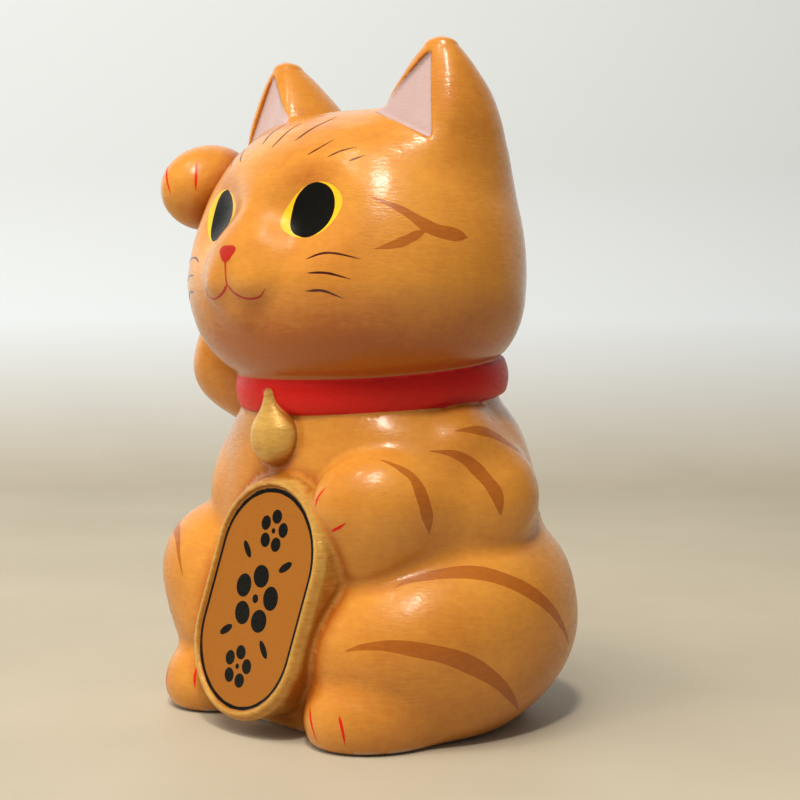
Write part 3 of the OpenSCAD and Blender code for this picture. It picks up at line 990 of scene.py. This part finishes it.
def paint_colour(tree, brush, light, deep, streak, worn):
    """From light to deep by blotches, brush marks, flecks and the painted shade of the crease attribute, with
    specks and a worn foot.
    """
    cloud = between(tree, noise(tree, BLOTCH), 0.35, 0.7, 0.0, 0.45)
    fleck = between(tree, noise(tree, FLECK, detail=2), 0.3, 0.7, -0.05, 0.1)
    crease = new_node(tree, "Attribute", {})
    crease.attribute_name = "crease"
    tone = reckoned(tree, cloud, between(tree, brush, 0.3, 0.7, -0.5 * streak, streak), "ADD")
    tone = reckoned(tree, tone, fleck, "ADD")
    # painted shade: the deep tone where the crease attribute marks hollows, chin and brow
    tone = reckoned(tree, tone, between(tree, crease.outputs["Fac"], 0.12, 0.75, 0, 0.95), "ADD")
    colour = mixed(tree, between(tree, tone, 0, 1), light, deep)
    dots = new_node(tree, "TexVoronoi", {"Scale": SPECK, "Vector": spot(tree)})
    dot = between(tree, dots.outputs["Distance"], 0.03, 0.05, 1, 0)
    few = between(tree, noise(tree, 60, shift=1.1), 0.66, 0.68)
    colour = mixed(tree, reckoned(tree, dot, few), colour, tuple(0.35 * c for c in deep))
    if worn:
        low = between(tree, height_above_base(tree), 0.0004, 0.002, 1, 0)
        patchy = between(tree, noise(tree, 170, shift=2.3), 0.5, 0.56)
        colour = mixed(tree, reckoned(tree, low, patchy), colour, worn)
    return colour


def enamel(name, light, deep, rough=0.32, coat=0.5, streak=0.11, worn=None, metal=0.0, grain=0.00012,
           sheen=0.3):
    """Brushed paint with a fine relief, under clear varnish that thins low down."""
    material, tree, surface = shader(name)
    brush = noise(tree, BRUSH, LEVEL, 4, 0.6, shift=0.3)
    feed(tree, surface.inputs, {
        "Base Color": paint_colour(tree, brush, light, deep, streak, worn),
        "Roughness": between(tree, brush, 0.25, 0.75, rough - 0.07, rough + 0.1),
        "Coat Weight": between(tree, height_above_base(tree), 0.05, 0.085, 0.5 * coat, coat),
        "Metallic": metal, "Specular IOR Level": sheen, "Coat IOR": 1.38, "Coat Roughness": 0.09})
    ripple = reckoned(tree, noise(tree, RIPPLE, (1, 1, 2.6), 3, 0.6), reckoned(tree, brush, 1.4), "ADD")
    ridged(tree, surface, ripple, 0.6, grain)
    return material


def clay(name):
    """Bare fired clay, dusty and slightly porous."""
    material, tree, surface = shader(name)
    blot = between(tree, noise(tree, 60), 0.35, 0.65)
    feed(tree, surface.inputs, {
        "Base Color": mixed(tree, blot, (0.52, 0.42, 0.32), (0.66, 0.57, 0.46)),
        "Roughness": between(tree, noise(tree, 300), 0.3, 0.7, 0.7, 0.92)})
    ridged(tree, surface, noise(tree, 1400, detail=4), 0.5, 0.0001, coat=False)
    return material


def finishes():
    bare = (0.6, 0.5, 0.38)
    return {
        "orange": enamel("orange glaze", (0.64, 0.268, 0.036), (0.39, 0.1, 0.009), 0.36, 0.7, worn=bare),
        "stripe": enamel("brown stripe", (0.41, 0.122, 0.012), (0.31, 0.072, 0.006), 0.36, 0.5, 0.3),
        "line": enamel("brown line", (0.12, 0.028, 0.006), (0.08, 0.018, 0.005), 0.36, 0.3),
        "maroon": enamel("maroon line", (0.075, 0.012, 0.009), (0.045, 0.008, 0.006), 0.33, 0.6),
        "lip": enamel("lip red", (0.45, 0.022, 0.01), (0.32, 0.014, 0.007), 0.36, 0.4),
        "red": enamel("red enamel", (0.66, 0.012, 0.006), (0.46, 0.006, 0.004), 0.42, 0.12, sheen=0.2),
        "gold": enamel("gold enamel", (0.68, 0.4, 0.09), (0.4, 0.135, 0.013), 0.38, 0.3, 0.22, metal=0.25,
                       grain=0.00021),
        "black": enamel("black enamel", (0.008, 0.0075, 0.006), (0.003, 0.003, 0.003), 0.3, 0.1, sheen=0.2),
        "yellow": enamel("yellow enamel", (0.86, 0.5, 0.012), (0.74, 0.37, 0.008), 0.32, 0.6),
        "pink": enamel("pink enamel", (0.5, 0.36, 0.33), (0.43, 0.29, 0.265), 0.4, 0.3),
        "clay": clay("bare clay"),
    }


# ---------------------------------------------------------------- the cat
def even(h):
    return [lambda t: h] * 3


def head_spacing():
    """Grid spacing of the head by axis: close round the ears and the face."""
    return [lambda t: 0.78 if 18 < abs(t) < 46 else 1.2,
            lambda t: 0.9 if t < -24 else (0.7 if t < -5 else 1.6),
            lambda t: 0.72 if t > 174 else (1.0 if t > 128 else 1.6)]


# finish, slot and grid spacing of each piece
PIECES = {name: ("orange", "orange_glaze", even(0.8)) for name in GLAZED} | {
    "torso_shell": ("orange", "orange_glaze", even(1.22)),
    "head_shell": ("orange", "orange_glaze", head_spacing()),
    "collar_band": ("red", "red_enamel", even(0.75)),
    "bell": ("gold", "gold_enamel", even(0.35)),
    "koban_tablet": ("gold", "gold_enamel", even(0.65)),
}


def build(mat):
    for name, (finish, slot, spacing) in PIECES.items():
        piece = casting(name, mat[finish], mat["clay"], spacing)
        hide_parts(name)
    for paint in (paint_face, paint_arms, paint_haunches, paint_back, paint_claws, tablet_outline,
                  tablet_ornament):
        paint(mat)


# ---------------------------------------------------------------- stage
CAMERA_TURN = math.radians(46)
CAMERA_PITCH = math.radians(3.35)
CAMERA_FAR, CAMERA_Z, CAMERA_SIDE = 0.52, 0.13, 0.00975
# height that the lamps are aimed at
MIDDLE_Z = 0.11
# the floor lies this far under the base, so that the two faces don't fight
FLOOR_GAP = 0.00005


def backdrop():
    """Plain pale floor that turns up into a pale wall behind the cat."""
    ahead = np.array([-math.sin(CAMERA_TURN), math.cos(CAMERA_TURN), 0])
    side = np.array([ahead[1], -ahead[0], 0])
    bend, near, half, high = 0.25, 0.62, 2.5, 2.2
    turn = np.linspace(0, math.pi / 2, 24)[1:]
    profile = [(-half, 0.0), (-1, 0.0), (0, 0.0), (near, 0.0)]
    profile += [(near + bend * math.sin(t), bend * (1 - math.cos(t))) for t in turn]
    profile.append((near + bend, high))
    points = [tuple(ahead * a + side * s + np.array([0, 0, z - FLOOR_GAP]))
              for a, z in profile for s in (-half, half)]
    quads = [(2 * i, 2 * i + 1, 2 * i + 3, 2 * i + 2) for i in range(len(profile) - 1)]
    material, tree, surface = shader("backdrop paper")
    up_wall = between(tree, height_above_base(tree), 0.0, 0.12)
    floor = mixed(tree, between(tree, noise(tree, 9), 0.3, 0.7), (0.42, 0.365, 0.265), (0.46, 0.4, 0.295))
    colour = mixed(tree, up_wall, floor, (0.7, 0.74, 0.76))
    feed(tree, surface.inputs, {"Base Color": colour, "Roughness": 0.6})
    ridged(tree, surface, noise(tree, 900), 0.1, 0.0001, coat=False)
    obj = placed(new_mesh("backdrop", points, quads, material), "backdrop")


def lamp(name, azimuth, elevation, far, size, power, colour, glints=True):
    """Square soft light on the side azimuth (0 is in front, 90 on the cat's left), aimed at the cat."""
    a, e = math.radians(azimuth), math.radians(elevation)
    way = Vector((math.sin(a) * math.cos(e), -math.cos(a) * math.cos(e), math.sin(e)))
    light = bpy.data.lights.new(name, "AREA")
    light.shape = "SQUARE"
    light.size, light.energy, light.color = size, power, colour
    obj = placed(light, name)
    obj.location = Vector((0, 0, MIDDLE_Z)) + far * way
    obj.rotation_euler = way.to_track_quat("Z", "Y").to_euler()
    obj.visible_glossy = glints


def light_and_camera():
    warm, cool = (1, 0.94, 0.86), (0.95, 0.98, 1)
    lamp("ceiling light", 42, 58, far=1.3, size=0.13, power=8.5, colour=warm)
    lamp("second ceiling light", -6, 66, far=1.35, size=0.09, power=1.3, colour=warm)
    lamp("soft overhead", 10, 62, far=1.6, size=1.0, power=21, colour=warm, glints=False)
    lamp("window side", -40, 20, far=1.5, size=1.1, power=12, colour=cool, glints=False)
    world = bpy.data.worlds.new("room")
    world.use_nodes = True
    inputs = world.node_tree.nodes["Background"].inputs
    feed(world.node_tree, inputs, {"Color": (0.86, 0.9, 0.95), "Strength": 0.32})
    world.cycles_visibility.glossy = False
    bpy.context.scene.world = world
    bpy.context.scene.view_settings.view_transform = "Standard"
    s, c = math.sin(CAMERA_TURN), math.cos(CAMERA_TURN)
    forward = Vector((-s * math.cos(CAMERA_PITCH), c * math.cos(CAMERA_PITCH), -math.sin(CAMERA_PITCH)))
    camera = bpy.data.cameras.new("camera")
    camera.lens, camera.sensor_width = 72, 36
    obj = placed(camera, "camera")
    obj.location = (CAMERA_FAR * s + CAMERA_SIDE * c, CAMERA_SIDE * s - CAMERA_FAR * c, CAMERA_Z)
    obj.rotation_euler = (-forward).to_track_quat("Z", "Y").to_euler()
    bpy.context.scene.camera = obj


build(finishes())
backdrop()
light_and_camera()
